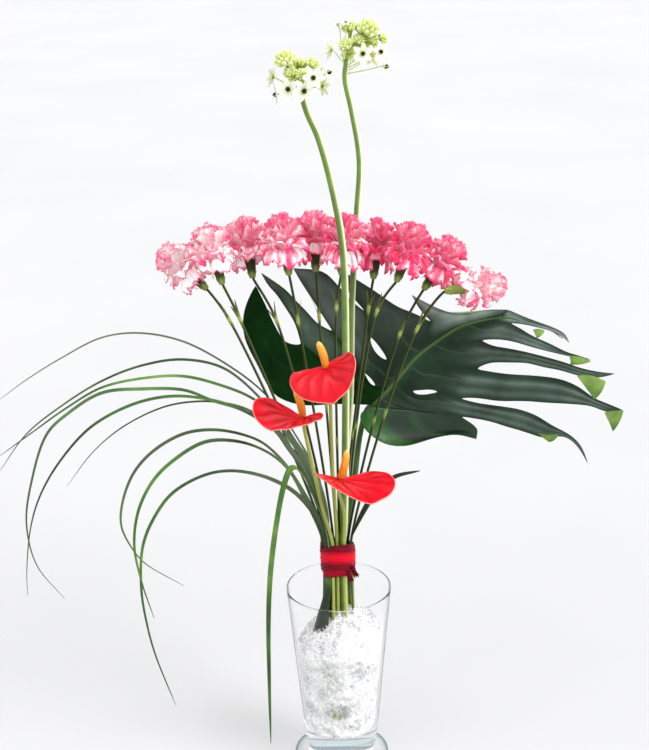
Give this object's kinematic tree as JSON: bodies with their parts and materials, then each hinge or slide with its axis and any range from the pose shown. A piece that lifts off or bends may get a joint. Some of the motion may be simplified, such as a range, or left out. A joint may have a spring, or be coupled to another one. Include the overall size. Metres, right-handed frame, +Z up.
{
  "type": "ikebana arrangement",
  "caption": "Tall flower arrangement in a footed clear glass vase: fringed carnations in a fan, red anthuriums, budding scapes, a cut leaf and arching grass, bound by a red ribbon.",
  "frame": {"origin": "centre of the vase foot's flat underside, which rests on the table", "axes": "+Z up the height, +X to the right and -Y to the front as the arrangement is seen, with the big leaf behind at the right and the grass arching to the left"},
  "size_m": [0.8384, 0.3733, 0.9823],
  "materials": {
    "vase_glass": "polished",
    "clear_gel": "gloss",
    "ribbon_fabric": "satin",
    "carnation_green": "satin",
    "carnation_petal": "matte",
    "anthurium_spathe": "gloss",
    "anthurium_spadix": "satin",
    "anthurium_stem": "satin",
    "scape_green": "satin",
    "star_flower": "matte",
    "monstera_green": "gloss",
    "grass_green": "satin"
  },
  "bodies": {
    "root": {"vase": "vase_glass", "gel_filling": "clear_gel", "ribbon_tie": "ribbon_fabric", "carnation_stem_01": "carnation_green", "carnation_bloom_01": "carnation_petal", "carnation_stem_02": "carnation_green", "carnation_bloom_02": "carnation_petal", "carnation_stem_03": "carnation_green", "carnation_bloom_03": "carnation_petal", "carnation_stem_04": "carnation_green", "carnation_bloom_04": "carnation_petal", "carnation_stem_05": "carnation_green", "carnation_bloom_05": "carnation_petal", "carnation_stem_06": "carnation_green", "carnation_bloom_06": "carnation_petal", "carnation_stem_07": "carnation_green", "carnation_bloom_07": "carnation_petal", "carnation_stem_08": "carnation_green", "carnation_bloom_08": "carnation_petal", "carnation_stem_09": "carnation_green", "carnation_bloom_09": "carnation_petal", "carnation_stem_10": "carnation_green", "carnation_bloom_10": "carnation_petal", "anthurium_spathe_1": "anthurium_spathe", "anthurium_spadix_1": "anthurium_spadix", "anthurium_stem_1": "anthurium_stem", "anthurium_spathe_2": "anthurium_spathe", "anthurium_spadix_2": "anthurium_spadix", "anthurium_stem_2": "anthurium_stem", "anthurium_spathe_3": "anthurium_spathe", "anthurium_spadix_3": "anthurium_spadix", "anthurium_stem_3": "anthurium_stem", "star_scape_1": "scape_green", "star_head_1": "star_flower", "star_scape_2": "scape_green", "star_head_2": "star_flower", "monstera_leaf": "monstera_green", "grass_blade_01": "grass_green", "grass_blade_02": "grass_green", "grass_blade_03": "grass_green", "grass_blade_04": "grass_green", "grass_blade_05": "grass_green", "grass_blade_06": "grass_green", "grass_blade_07": "grass_green", "grass_blade_08": "grass_green", "grass_blade_09": "grass_green", "grass_blade_10": "grass_green", "grass_blade_11": "grass_green"}
  },
  "joints": []
}
